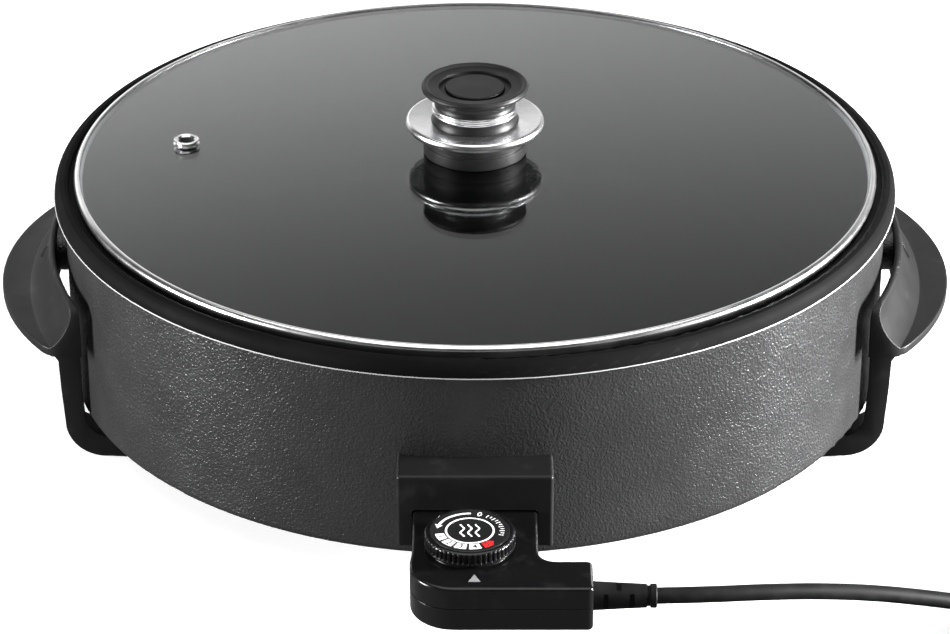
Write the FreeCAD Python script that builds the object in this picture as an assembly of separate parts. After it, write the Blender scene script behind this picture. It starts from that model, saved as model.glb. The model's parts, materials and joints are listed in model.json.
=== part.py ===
"""Round electric party pan: a cast pan on two handle-and-foot mouldings, a glass lid and a plug-in
thermostat controller with its mains lead.

Millimetres, +Z up. The shapes are drawn about the pan's own axis with the table at z = 0, and save()
moves them so that the origin is the middle of the object's footprint. -Y is the controller's side."""
import math
import os

import FreeCAD, Part

from FreeCAD import Vector

os.makedirs("parts", exist_ok=True)

# ---- driving dimensions ----
WALL_R = 205.0          # pan wall, outside
LIP_R = 210.0           # edge of the pan's lip
LIP_EDGE_Z = 117.0      # bare metal edge under the lip
BARE_SLANT = 0.5        # how far that edge leans in, so that it faces a little upwards
PAN_BASE_Z = 20.2       # underside of the pan
PAN_FLOOR_Z = 24.7      # cooking surface
BORE_R = 198.6          # inside of the wall, just under the lid's seat
SEAT_Z = 121.2          # ledge that the lid's rim stands over
SEAT_R = 202.7

ELEMENT_R = 140.0       # ring of the heating element
ELEMENT_TUBE_R = 3.5
ELEMENT_Z = 15.7
END_SIDE_STEP = 8.0     # how far to the side each end of the element turns out of the ring
TERMINAL_X = 20.0       # half the distance between the two live pins
TERMINAL_Z = 44.2       # pins, probe and the controller's parting plane
PIN_R = 3.0
SHIELD_FRONT = -210.5   # front of the insulating terminal block

RIM_R = 199.8           # lid
GLASS_R = 198.6
GLASS_T = 3.8
GLASS_TOP_Z = 131.9
GLASS_RISE = 5.1

GUARD_HALF = 35.7       # socket guard
GUARD_FRONT = -222.2
GUARD_LOW = 37.2
GUARD_TOP = 73.6
MOUTH_HALF = 28.7
MOUTH_TOP = 55.9

HANDLE_IN_R = 211.0     # inner face of the handle's upright guard
HANDLE_GUARD_T = 3.5     # at its top edge; it flares into the grip
HANDLE_FLARE = 13.5
HANDLE_TIP_X = 239.0
HANDLE_ARC_R = 142.0
HANDLE_HALF = 89.0      # half its length, along Y
HANDLE_CORNER_R = 12.0
HANDLE_LOW = 62.5
HANDLE_TOP = 67.0
GUARD_WALL_TOP = 90.0
LEG_FRONT = 78.5        # flat end of each leg, set back under the grip
LEG_START = 16.4        # angle of the leg's inner side, seen from the pan's axis
BOSS_Z = 77.0
FOOT_SCREW = (163.0, 22.3)      # radius and angle, as is the pad's
FOOT_BOSS_LOW = 11.4            # end of the pan's boss, on the foot's upper face
FOOT_PAD = (179.0, 21.0)

BODY_LOW = 33.0         # controller
BODY_TOP = 55.0
BODY_FRONT = -287.7
BODY_RIGHT = 52.2
NECK_HALF = 28.3
NOSE_Y = -211.5
BODY_WALL = 2.4
PARTING_GROOVE = 0.45    # height and depth of the fine groove where the two halves meet
DIAL_X, DIAL_Y = -2.3, -251.6
DIAL_R = 20.5
DIAL_FACE_Z = 63.0

CORD_R = 3.75           # mains lead
RELIEF_END_X = 80.5
RELIEF_Y = -276.0
RELIEF_PITCH = 5.8      # along the sleeve, from one slot to the next
RELIEF_SLOT = 1.3       # depth of a slot
COIL = Vector(287.5, -258.5, 0)
COIL_MEAN_R = 41.0
COIL_TURNS_WIDE = 2
COIL_LOW = 0.9
PLUG_R = 18.5
PLUG_TURN = 40.0        # the plug's heading, from +X towards +Y

ORIGIN_SHIFT = Vector(0, -(BODY_FRONT + LIP_R) / 2, 0)

# The lead's points, from the strain relief to the coil: their middle height falls to the table.
LEAD_ROUTE = [
    (80.5, -276.0, 44.2), (104.0, -274.6, 43.9), (129.0, -268.2, 41.2), (154.0, -259.8, 36.4),
    (179.0, -250.8, 29.8), (203.0, -242.2, 21.8), (226.0, -234.0, 13.4), (247.0, -225.6, 6.6),
    (266.0, -218.4, 4.6),
]
# The short stretch from the coil's last turn to the plug.
TAIL_ROUTE = [(255.5, -226.5, 13.4), (266.5, -215.4, 15.7), (278.4, -205.4, 18.7)]


# ---- helpers ----
def edges_round(start, steps, place):
    """Edges from start through the steps and back. A step is a point, or (middle, end) of an arc."""
    edges, here = [], start
    for step in steps:
        if isinstance(step[0], tuple):
            middle, there = step
            edges.append(Part.Arc(place(here), place(middle), place(there)).toShape())
        else:
            there = step
            edges.append(Part.LineSegment(place(here), place(there)).toShape())
        here = there
    if here != start:
        edges.append(Part.LineSegment(place(here), place(start)).toShape())
    return edges


def face(start, *steps, place=lambda p: Vector(p[0], p[1], 0)):
    return Part.Face(Part.Wire(edges_round(start, steps, place)))


def turned(start, *steps, angle=360, first=0):
    """Solid of an (r, z) outline turned about the Z axis."""
    profile = face(start, *steps, place=lambda p: Vector(p[0], 0, p[1]))
    profile.rotate(Vector(), Vector(0, 0, 1), first)
    return profile.revolve(Vector(), Vector(0, 0, 1), angle)


def prism(low, high, start, *steps):
    """Solid of an (x, y) outline between two heights."""
    outline = face(start, *steps)
    outline.translate(Vector(0, 0, low))
    return outline.extrude(Vector(0, 0, high - low))


def box(x0, x1, y0, y1, z0, z1):
    return Part.makeBox(x1 - x0, y1 - y0, z1 - z0, Vector(x0, y0, z0))


def rod(radius, start, end):
    start, end = Vector(start), Vector(end)
    return Part.makeCylinder(radius, (end - start).Length, start, end - start)


def polar(radius, degrees, z=0):
    angle = math.radians(degrees)
    return Vector(radius * math.cos(angle), radius * math.sin(angle), z)


def mirrored(shape, across):
    return shape.mirror(Vector(), across)


def rounded(shape, radius, wanted):
    """Shape with the edges that wanted(edge) picks rounded."""
    return shape.makeFillet(radius, [edge for edge in shape.Edges if wanted(edge)])


def level_at(z):
    """Picks the edges that lie at one height."""
    return lambda e: abs(e.BoundBox.ZMin - z) < 1e-4 and abs(e.BoundBox.ZMax - z) < 1e-4


def joined(*shapes):
    return shapes[0].fuse(list(shapes[1:])).removeSplitter()


def save(node, *shapes):
    solids = [solid for shape in shapes for solid in shape.Solids]
    whole = solids[0] if len(solids) == 1 else Part.makeCompound(solids)
    whole = whole.copy()
    whole.translate(ORIGIN_SHIFT)
    for solid in whole.Solids:
        if not solid.isValid() or solid.Volume <= 0:
            print("not a sound solid:", node)
    whole.exportStep("parts/" + node + ".step")


def screw(head_r, head_t, shank_r, length, recess=0.6):
    """Round-headed screw along +Z: the head's underside is at z = 0 and the shank goes down."""
    crown = turned((0, head_t), ((head_r * 0.6, head_t * 0.93), (head_r, head_t * 0.3)), (head_r, 0), (0, 0))
    shank = rod(shank_r, (0, 0, 0), (0, 0, -length))
    slot = recess * head_r
    cross = box(-slot, slot, -0.5, 0.5, head_t * 0.45, head_t + 1)
    other = box(-0.5, 0.5, -slot, slot, head_t * 0.45, head_t + 1)
    return joined(crown, shank).cut([cross, other])


def placed(shape, point, direction):
    """Shape, drawn along +Z, moved to a point and turned to a direction."""
    copy = shape.copy()
    copy.Placement = FreeCAD.Placement(Vector(point), FreeCAD.Rotation(Vector(0, 0, 1), Vector(direction)))
    return copy


# ---- pan ----
def element_groove_ring():
    """The ridge cast on the underside, with a half-round groove that the element lies in."""
    ring, tube = ELEMENT_R, ELEMENT_TUBE_R + 0.1
    return [
        (ring - 7.5, PAN_BASE_Z), (ring - 6.5, ELEMENT_Z), (ring - tube, ELEMENT_Z),
        ((ring, ELEMENT_Z + tube), (ring + tube, ELEMENT_Z)), (ring + 6.5, ELEMENT_Z),
        (ring + 7.5, PAN_BASE_Z),
    ]


def pan_body():
    edge = LIP_EDGE_Z
    pan = turned(
        (0, PAN_BASE_Z), *element_groove_ring(),
        (WALL_R - 4, PAN_BASE_Z), ((WALL_R - 1.17, PAN_BASE_Z + 1.17), (WALL_R, PAN_BASE_Z + 4)),
        (WALL_R, edge - 1.6), ((WALL_R + 0.3, edge - 0.9), (WALL_R + 1, edge - 0.6)),
        (LIP_R - 0.3, edge - 0.6), (LIP_R, edge - 0.3), (LIP_R - BARE_SLANT, edge + 0.4),
        ((LIP_R - 1.2, edge + 4.6), (LIP_R - 3.2, edge + 7.1)), (LIP_R - 5, edge + 7.5),
        ((LIP_R - 6.7, edge + 7.2), (SEAT_R, edge + 6.2)), (SEAT_R, SEAT_Z), (BORE_R, SEAT_Z),
        (BORE_R - 1, PAN_FLOOR_Z + 9), ((BORE_R - 3.5, PAN_FLOOR_Z + 2.5), (BORE_R - 10, PAN_FLOOR_Z)),
        (0, PAN_FLOOR_Z))
    foot_bosses = []
    foot_holes = []
    for side in (0, 180):
        for lean in (-FOOT_SCREW[1], FOOT_SCREW[1]):
            boss = polar(FOOT_SCREW[0], side + lean, FOOT_BOSS_LOW)
            foot_bosses.append(rod(6.5, boss, boss + Vector(0, 0, PAN_BASE_Z - FOOT_BOSS_LOW + 0.2)))
            foot_holes.append(rod(2.5, boss - Vector(0, 0, 1), boss + Vector(0, 0, 11.8)))
    side_end = HANDLE_IN_R - 0.3
    side_bosses = [rod(11, (x * 200, 0, BOSS_Z), (x * side_end, 0, BOSS_Z)) for x in (-1, 1)]
    side_holes = [rod(2.5, (x * 202.2, 0, BOSS_Z), (x * 212, 0, BOSS_Z)) for x in (-1, 1)]
    bore = rod(HANDLE_IN_R - 9.5, (0, 0, PAN_BASE_Z + 2), (0, 0, 160))
    side_bosses = [boss.cut(bore) for boss in side_bosses]
    notch = box(TERMINAL_X - 3.8, TERMINAL_X + END_SIDE_STEP + 4, -ELEMENT_R - 10, -ELEMENT_R + 10,
                ELEMENT_Z - 6, ELEMENT_Z + ELEMENT_TUBE_R + 0.1)
    leg_notches = [notch, mirrored(notch, Vector(1, 0, 0))]
    probe_seat = rod(3.5, (0, -207, TERMINAL_Z), (0, -202.2, TERMINAL_Z))
    guard_holes = [rod(1.6, (x, -207, 50.5), (x, -200.6, 50.5)) for x in (-10, 10)]
    clamp_holes = [rod(1.6, point, point + Vector(0, 0, 4)) for point in clamp_screw_points(PAN_BASE_Z - 1)]
    pan = joined(pan, *foot_bosses, *side_bosses)
    return pan.cut(foot_holes + side_holes + leg_notches + [probe_seat] + guard_holes + clamp_holes)


def heating_element():
    """Sheathed ring whose ends turn outwards, tangent to it, and run under the wall."""
    gap = math.asin((TERMINAL_X + END_SIDE_STEP) / ELEMENT_R)
    reach = END_SIDE_STEP / math.cos(gap)
    bend = reach * math.tan(math.pi / 4 + gap / 2)
    tube = Part.Wire(Part.makeCircle(ELEMENT_TUBE_R, Vector(ELEMENT_R, 0, ELEMENT_Z), Vector(0, 1, 0)))
    ring = Part.Face(tube).revolve(Vector(), Vector(0, 0, 1), 360 - 2 * math.degrees(gap))
    ring.rotate(Vector(), Vector(0, 0, 1), math.degrees(gap) - 90)
    legs = []
    for side in (-1, 1):
        start = polar(ELEMENT_R, -90 + side * math.degrees(gap), ELEMENT_Z)
        along = Vector(-side * math.cos(gap), -math.sin(gap), 0)
        corner = start + along * reach
        leave = corner - Vector(0, reach, 0)
        centre = leave + Vector(side * bend, 0, 0)
        middle = centre + (corner - centre).normalize() * bend
        path = Part.Wire([
            Part.Arc(start, middle, leave).toShape(),
            Part.LineSegment(leave, Vector(leave.x, -200, ELEMENT_Z)).toShape()])
        section = Part.Wire(Part.makeCircle(ELEMENT_TUBE_R, start, along))
        legs.append(path.makePipeShell([section], True, False))
    return joined(ring, *legs)


def element_seals():
    return [rod(3.2, (x, -200, ELEMENT_Z), (x, -203.5, ELEMENT_Z)) for x in (-TERMINAL_X, TERMINAL_X)]


def pin_links():
    """Strips that join the element's cold ends to the live pins, behind the terminal block."""
    links = []
    for x in (-TERMINAL_X, TERMINAL_X):
        stub = rod(1.4, (x, -203.5, ELEMENT_Z), (x, -206.4, ELEMENT_Z))
        links.append(joined(box(x - 3, x + 3, -207.2, -206.4, ELEMENT_Z - 3, TERMINAL_Z + 3), stub))
    return links


CLAMP_ANGLES = (25, 90, 155, 205, 335)
CLAMP_REACH = 11.9


def clamp_screw_points(z):
    return [polar(ELEMENT_R + way * CLAMP_REACH, angle, z) for angle in CLAMP_ANGLES for way in (-1, 1)]


def element_clamps():
    """Steel straps across the element, screwed to the pan's underside."""
    near, far = ELEMENT_TUBE_R + 0.1, ELEMENT_TUBE_R + 1.0
    strap = face(
        (-16, 4.4), (-7.9, 4.4), (-6.8, -0.1), (-near, -0.1), ((0, -near), (near, -0.1)), (6.8, -0.1),
        (7.9, 4.4), (16, 4.4), (16, 3.5), (8.6, 3.5), (7.5, -1.0), (far, -1.0),
        ((0, -far), (-far, -1.0)), (-7.5, -1.0), (-8.6, 3.5), (-16, 3.5),
        place=lambda p: Vector(ELEMENT_R + p[0], 0, ELEMENT_Z + p[1]))
    strap = strap.extrude(Vector(0, 10, 0))
    strap.translate(Vector(0, -5, 0))
    holes = [rod(1.7, (ELEMENT_R + x, 0, 0), (ELEMENT_R + x, 0, 30)) for x in (-CLAMP_REACH, CLAMP_REACH)]
    strap = strap.cut(holes)
    straps = []
    for angle in CLAMP_ANGLES:
        copy = strap.copy()
        copy.rotate(Vector(), Vector(0, 0, 1), angle)
        straps.append(copy)
    return straps


def clamp_screws():
    small = screw(3.0, 1.8, 1.5, 3.8)
    return [placed(small, point, (0, 0, -1)) for point in clamp_screw_points(ELEMENT_Z + 3.5)]


def terminal_block():
    """Insulating block behind the socket's mouth. Its lower part boxes in the element's ends."""
    top = MOUTH_TOP - 0.3
    plate = box(-28.3, 28.3, SHIELD_FRONT, -207.6, GUARD_LOW, top)
    plate = rounded(plate, 1.6, lambda e: abs(e.BoundBox.ZMin - top) < 1e-4 and e.BoundBox.XLength < 1e-3)
    lower = box(-26.5, 26.5, SHIELD_FRONT, -198, 9.5, GUARD_LOW)
    inside = box(-24.5, 24.5, -207.6, -190, 11.5, GUARD_LOW + 20)
    wall = rod(WALL_R + 0.3, (0, 0, PAN_BASE_Z - 0.3), (0, 0, 100))
    ridge = box(-24.5, 24.5, -207.6, -190, GUARD_LOW - 1, GUARD_LOW + 20)
    block = joined(plate, lower.cut([inside, wall, ridge]))
    holes = [rod(PIN_R, (x, -215, TERMINAL_Z), (x, -200, TERMINAL_Z)) for x in (-TERMINAL_X, TERMINAL_X)]
    holes.append(rod(3.6, (0, -215, TERMINAL_Z), (0, -200, TERMINAL_Z)))
    holes.extend(rod(1.7, (x, -215, 50.5), (x, -200, 50.5)) for x in (-10, 10))
    holes.append(box(-3.15, 3.15, -215, -200, 51.6, 52.6))
    return block.cut(holes)


def appliance_pins():
    pins = []
    for x in (-TERMINAL_X, TERMINAL_X):
        pin = rod(PIN_R, (x, -206.4 - 0.8, TERMINAL_Z), (x, -221.6, TERMINAL_Z))
        tip = [e for e in pin.Edges if abs(e.BoundBox.YMax + 221.6) < 1e-4]
        pins.append(pin.makeChamfer(1.0, tip))
    return pins


def earth_blade():
    return box(-3.1, 3.1, -220.5, -206.9, 51.65, 52.55)


def terminal_screws():
    return [placed(screw(2.9, 1.7, 1.55, 7.5), (x, SHIELD_FRONT, 50.5), (0, -1, 0)) for x in (-10, 10)]


def socket_guard():
    """Hood round the socket, open at the front and below, hollow above the mouth. The screws that hold
    the terminal block pass through its flange too."""
    block = box(-GUARD_HALF, GUARD_HALF, GUARD_FRONT, -190, GUARD_LOW, GUARD_TOP)

    def front_or_upright(edge):
        bounds = edge.BoundBox
        on_front = abs(bounds.YMin - GUARD_FRONT) < 1e-4
        along_depth = bounds.YLength > 20
        return (on_front or along_depth) and bounds.ZMax > GUARD_LOW + 1

    block = rounded(block, 1.6, front_or_upright)
    mouth = box(-MOUTH_HALF, MOUTH_HALF, -260, -150, 0, MOUTH_TOP)
    mouth = rounded(mouth, 1.5, lambda e: abs(e.BoundBox.ZMin - MOUTH_TOP) < 1e-4 and e.BoundBox.YLength > 50)
    hollow = box(-GUARD_HALF + 3, GUARD_HALF - 3, GUARD_FRONT + 3, -150, MOUTH_TOP + 3, GUARD_TOP - 2.6)
    wall = rod(WALL_R + 0.1, (0, 0, 0), (0, 0, 120))
    flange = box(-16, 16, -207.5, -200, 47.7, MOUTH_TOP + 1)
    holes = [rod(1.7, (x, -215, 50.5), (x, -200, 50.5)) for x in (-10, 10)]
    holes.append(box(-3.3, 3.3, -215, -200, 51.5, 52.7))
    return joined(block.cut([mouth, hollow]), flange).cut([wall] + holes)


# ---- handles: one moulding each, with two legs and a screwed foot ----
def handle_outline(low, high):
    """Plan of the grip: a wide arc outside, an arc concentric with the pan inside, flat ends."""
    inner_x = math.sqrt(HANDLE_IN_R ** 2 - HANDLE_HALF ** 2)
    centre_x = HANDLE_TIP_X - HANDLE_ARC_R
    small = HANDLE_CORNER_R
    corner_y = HANDLE_HALF - small
    corner_x = centre_x + math.sqrt((HANDLE_ARC_R - small) ** 2 - corner_y ** 2)
    bend = math.atan2(corner_y, corner_x - centre_x)
    middle = (bend + math.pi / 2) / 2
    bend_at = (centre_x + HANDLE_ARC_R * math.cos(bend), HANDLE_ARC_R * math.sin(bend))
    middle_at = (corner_x + small * math.cos(middle), corner_y + small * math.sin(middle))
    return prism(
        low, high, (inner_x, -HANDLE_HALF), (corner_x, -HANDLE_HALF),
        ((middle_at[0], -middle_at[1]), (bend_at[0], -bend_at[1])), ((HANDLE_TIP_X, 0), bend_at),
        (middle_at, (corner_x, HANDLE_HALF)), (inner_x, HANDLE_HALF),
        ((HANDLE_IN_R, 0), (inner_x, -HANDLE_HALF)))


def handle_guard_wall():
    """Upright guard whose outer face slopes and flares down into the grip."""
    inner, outer, top = HANDLE_IN_R, HANDLE_IN_R + HANDLE_GUARD_T, GUARD_WALL_TOP
    flare = inner + HANDLE_FLARE
    hollow = ((outer + flare) / 2 - 2.2, (top + HANDLE_TOP) / 2 - 1.2)
    wall = turned(
        (inner, HANDLE_LOW), (inner, top - 1.5), ((inner + HANDLE_GUARD_T / 2, top), (outer, top - 1.5)),
        (hollow, (flare, HANDLE_TOP)), (flare, HANDLE_LOW), angle=56, first=-28)
    corner = 2.35
    end_cut = face(
        (-HANDLE_HALF, 50), (HANDLE_HALF, 50), (HANDLE_HALF, top - 8),
        ((HANDLE_HALF - corner, top - corner), (HANDLE_HALF - 8, top)), (-HANDLE_HALF + 8, top),
        ((-HANDLE_HALF + corner, top - corner), (-HANDLE_HALF, top - 8)),
        place=lambda p: Vector(150, p[0], p[1]))
    end_cut = end_cut.extrude(Vector(100, 0, 0))
    return wall.common(end_cut).common(handle_outline(HANDLE_LOW, top + 1))


def handle_leg():
    """Upright and foot: turned about the pan's axis inside, straight outside, flat at the end."""
    top = HANDLE_LOW + 1

    def at_front(radius, z):
        return (math.sqrt(radius ** 2 - LEG_FRONT ** 2), z)

    leg = turned(
        (208.7, 39.7), (207.8, 24.6), ((205.2, 16.2), (198.8, 12.0)), (158, 11.0), (156, 9.0), (156, 2.5),
        (158, 0.5), (189, 0.5), (197.5, 1.0), ((210.9, 5.6), (216.9, 17.0)), (218.4, 39.7), (218.9, 54.5),
        (224.1, top), (208.7, top), angle=16, first=LEG_START)
    outside = face(
        (100, 0), at_front(189, 0), at_front(197.5, 1.0), (at_front(210.9, 5.6), at_front(216.9, 17.0)),
        at_front(218.3, 39.7), at_front(218.8, 54.5), at_front(224.0, top), (100, top),
        place=lambda p: Vector(p[0], 0, p[1]))
    return leg.common(outside.extrude(Vector(0, LEG_FRONT, 0)))


def handle():
    plate = handle_outline(HANDLE_LOW, HANDLE_TOP)

    def outer_rim(edge):
        level = level_at(HANDLE_TOP)(edge) or level_at(HANDLE_LOW)(edge)
        return level and (edge.CenterOfMass.x > 208 or edge.BoundBox.YLength < 1e-3)

    plate = rounded(plate, 0.7, outer_rim)
    leg = handle_leg()
    moulding = joined(plate, handle_guard_wall(), leg, mirrored(leg, Vector(0, 1, 0)))
    cuts = [rod(2.7, (205, 0, BOSS_Z), (230, 0, BOSS_Z)), rod(5.4, (213.6, 0, BOSS_Z), (235, 0, BOSS_Z))]
    for way in (-1, 1):
        screw_at = polar(FOOT_SCREW[0], way * FOOT_SCREW[1])
        cuts.append(rod(2.7, screw_at - Vector(0, 0, 1), screw_at + Vector(0, 0, 20)))
        cuts.append(rod(5.6, screw_at - Vector(0, 0, 1), screw_at + Vector(0, 0, 6.5)))
        pad_at = polar(FOOT_PAD[0], way * FOOT_PAD[1])
        cuts.append(rod(6.6, pad_at - Vector(0, 0, 1), pad_at + Vector(0, 0, 3)))
    return moulding.cut(cuts)


def foot_pads():
    pads = []
    for side in (0, 180):
        for way in (-1, 1):
            at = polar(FOOT_PAD[0], side + way * FOOT_PAD[1])
            pad = turned((0, 0), (5.4, 0), ((6.2, 0.35), (6.6, 1.2)), (6.6, 3), (0, 3))
            pad.translate(at)
            pads.append(pad)
    return pads


def foot_screws():
    big = screw(5.0, 3.0, 2.5, 14.5)
    points = [polar(FOOT_SCREW[0], side + way * FOOT_SCREW[1], 6.5) for side in (0, 180) for way in (-1, 1)]
    return [placed(big, point, (0, 0, -1)) for point in points]


def handle_screws():
    big = screw(4.9, 2.8, 2.5, 11.0)
    return [placed(big, (x * 213.6, 0, BOSS_Z), (x, 0, 0)) for x in (-1, 1)]


# ---- lid ----
def glass_shell(top_z, thickness, radius):
    """Shallow dome with a flat ground edge."""
    drop = top_z - GLASS_RISE
    high = (radius / 2, top_z - GLASS_RISE / 4)
    return [
        (0, top_z - thickness), ((high[0], high[1] - thickness), (radius, drop - thickness)),
        (radius, drop), (high, (0, top_z)),
    ]


def glass_height(radius):
    return GLASS_TOP_Z - GLASS_RISE * (radius / GLASS_R) ** 2


VENT_AT = Vector(-145.0, 12.0, 0)
VENT_Z = glass_height(145.5)


def lid_glass():
    start, *steps = glass_shell(GLASS_TOP_Z, GLASS_T, GLASS_R)
    glass = turned(start, *steps)
    screw_hole = rod(3.2, (0, 0, 110), (0, 0, 150))
    vent_hole = rod(5.2, VENT_AT + Vector(0, 0, 110), VENT_AT + Vector(0, 0, 150))
    return glass.cut([screw_hole, vent_hole])


def lid_rim():
    """Rolled steel channel clasping the glass edge."""
    low = GLASS_TOP_Z - GLASS_RISE - GLASS_T
    top = GLASS_TOP_Z - GLASS_RISE
    return turned(
        (RIM_R - 4.6, low - 0.1), (RIM_R - 1.1, low - 0.1), (RIM_R - 1.1, top + 0.1), (RIM_R - 2.9, top + 0.1),
        ((RIM_R - 3.05, top + 0.6), (RIM_R - 2.6, top + 0.9)), (RIM_R - 1.3, top + 0.9),
        ((RIM_R - 0.4, top + 0.5), (RIM_R, top - 0.4)), (RIM_R, low),
        ((RIM_R - 0.26, low - 0.84), (RIM_R - 0.9, low - 1.1)), (RIM_R - 4.6, low - 1.1))


KNOB_BASE_LOW = GLASS_TOP_Z + 0.05
DISC_LOW = 145.9
COLLAR_LOW = 153.7


def knob_base():
    """Black foot of the knob, with a waist groove, standing on the glass."""
    low = KNOB_BASE_LOW
    return turned(
        (3.2, low), (25.2, low), ((25.6, low + 0.3), (25.7, low + 0.8)), (25.7, low + 5.6), (24.9, low + 6.2),
        (24.9, low + 7.0), (25.9, low + 7.6), (25.9, DISC_LOW), (3.2, DISC_LOW))


def knob_disc():
    """Chromed guard disc with a rolled edge."""
    low = DISC_LOW
    return turned(
        (3.2, low), (31.4, low), ((32.3, low - 0.5), (33.3, low - 0.3)), ((34.35, low + 1.2), (34.1, low + 3.1)),
        ((33.5, low + 3.9), (32.4, low + 4.1)), (21.9, low + 3.2), (21.9, low + 2.2), (3.2, low + 2.2))


def knob_neck():
    low = DISC_LOW + 2.2
    return turned(
        (3.2, low), (21.7, low), (21.7, low + 1.2), ((21.0, low + 3.4), (20.9, COLLAR_LOW)),
        (18.6, COLLAR_LOW), (18.6, COLLAR_LOW + 4.2), (3.2, COLLAR_LOW + 4.2))


def knob_collar():
    """Chrome ring of two beads round the neck."""
    low = COLLAR_LOW
    return turned(
        (18.6, low), (20.6, low), ((21.5, low + 0.8), (21.0, low + 1.7)), (20.7, low + 2.0),
        ((21.4, low + 2.9), (20.8, low + 4.0)), (20.2, low + 4.2), (18.6, low + 4.2))


def knob_top():
    """Grip: flared neck, wide top with a raised rim and a ring-shaped recess."""
    low = COLLAR_LOW + 4.2
    return turned(
        (0, low), (20.2, low), ((20.0, low + 3.2), (22.6, low + 5.9)), (25.4, low + 7.2),
        ((26.6, low + 8.5), (26.1, low + 9.7)), ((25.2, low + 10.5), (24.2, low + 10.2)),
        (23.2, low + 9.3), (18.1, low + 9.0), (18.0, low + 7.4), (14.9, low + 7.4), (14.9, low + 6.0),
        (0, low + 6.0)).cut(rod(2.6, (0, 0, low - 1), (0, 0, low + 4.5)))


def knob_cap():
    low = COLLAR_LOW + 4.2 + 6.0
    return turned((0, low), (14.6, low), (14.6, low + 2.3), ((14.4, low + 2.7), (13.9, low + 2.85)), (0, low + 3.0))


def knob_screw():
    under = GLASS_TOP_Z - GLASS_T
    return placed(screw(5.0, 3.0, 2.5, 33.0), (0, 0, under - 2.0), (0, 0, -1))


def knob_washer():
    under = GLASS_TOP_Z - GLASS_T
    return turned((2.7, under - 2.0), (9.0, under - 2.0), (9.0, under - 1.0), (2.7, under - 1.0))


def knob_gasket():
    under = GLASS_TOP_Z - GLASS_T
    return turned((2.7, under - 1.0), (10.0, under - 1.0), (10.0, under - 0.15), (2.7, under - 0.15))


def vent_eyelet():
    """Flanged steel eyelet through the glass, closed over underneath."""
    up, down = 1.6, -GLASS_T - 1.1
    eyelet = turned(
        (3.9, down), (6.4, down), (6.4, down + 0.6), (5.0, down + 0.9), (5.0, 0.35), (6.5, 0.35), (6.5, 0.9),
        (5.7, 1.3), ((5.2, up), (5.9, up + 0.9)), ((6.35, up + 1.2), (5.7, up + 1.5)), (4.6, up + 1.5),
        (3.9, up + 0.9))
    eyelet.translate(VENT_AT + Vector(0, 0, VENT_Z))
    return eyelet


# ---- controller ----
def body_outline(inset=0.0):
    """L-shaped plan of the housing, drawn in by a wall thickness when asked."""
    n, right, front = NECK_HALF - inset, BODY_RIGHT - inset, BODY_FRONT + inset
    left, arm_back, nose = -29.0 + inset, -264.0 - inset, NOSE_Y - inset
    inner_r = 8.0 + inset
    corner_r = 20.0 - inset
    end_r = 2.6 - inset / 2
    cut = 0.2929
    elbow_x = n + inner_r
    elbow_y = arm_back + inner_r
    return face(
        (-n, nose), (n, nose), (n, elbow_y), ((n + cut * inner_r, arm_back + cut * inner_r), (elbow_x, arm_back)),
        (right - end_r, arm_back), ((right - cut * end_r, arm_back - cut * end_r), (right, arm_back - end_r)),
        (right, front + end_r), ((right - cut * end_r, front + cut * end_r), (right - end_r, front)),
        (left + corner_r, front), ((left + cut * corner_r, front + cut * corner_r), (left, front + corner_r)),
        (left, -264), (-n, -256))


SCREW_POSTS = ((-21.5, -240.0), (21.0, -240.0), (24.0, -276.0))


def housing_block():
    outline = body_outline()
    outline.translate(Vector(0, 0, BODY_LOW))
    block = outline.extrude(Vector(0, 0, BODY_TOP - BODY_LOW))
    block = rounded(block, 1.5, level_at(BODY_TOP))
    return rounded(block, 1.5, level_at(BODY_LOW))


def housing_room():
    room = body_outline(BODY_WALL)
    room.translate(Vector(0, 0, BODY_LOW + BODY_WALL))
    return room.extrude(Vector(0, 0, BODY_TOP - BODY_LOW - 2 * BODY_WALL))


def housing_openings():
    """Holes for the pins' sleeves, probe, earth blade, lead and dial spindle."""
    cuts = [rod(3.6, (x, NOSE_Y + 5, TERMINAL_Z), (x, NOSE_Y - 6, TERMINAL_Z)) for x in (-TERMINAL_X, TERMINAL_X)]
    cuts.append(rod(3.05, (0, NOSE_Y + 5, TERMINAL_Z), (0, NOSE_Y - 6, TERMINAL_Z)))
    cuts.append(box(-3.5, 3.5, NOSE_Y - 6, NOSE_Y + 5, 51.3, 52.9))
    cuts.extend(rod(3.4, (x, NOSE_Y - 1.9, 50.5), (x, NOSE_Y + 5, 50.5)) for x in (-10, 10))
    cuts.append(rod(6.0, (BODY_RIGHT - 6, RELIEF_Y, TERMINAL_Z), (BODY_RIGHT + 6, RELIEF_Y, TERMINAL_Z)))
    cuts.append(rod(5.05, (DIAL_X, DIAL_Y, 50), (DIAL_X, DIAL_Y, 60)))
    return cuts


def screw_posts(low, high, hole_r):
    posts = []
    for x, y in SCREW_POSTS:
        posts.append(rod(3.4, (x, y, low), (x, y, high)).cut(rod(hole_r, (x, y, low - 1), (x, y, high - 1.2))))
    return posts


def parting_groove():
    """Fine step round the outside where the two halves meet."""
    low, high = TERMINAL_Z - PARTING_GROOVE / 2, TERMINAL_Z + PARTING_GROOVE / 2
    ring = body_outline(-1.0).cut(body_outline(PARTING_GROOVE))
    ring.translate(Vector(0, 0, low))
    return ring.extrude(Vector(0, 0, high - low))


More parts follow.
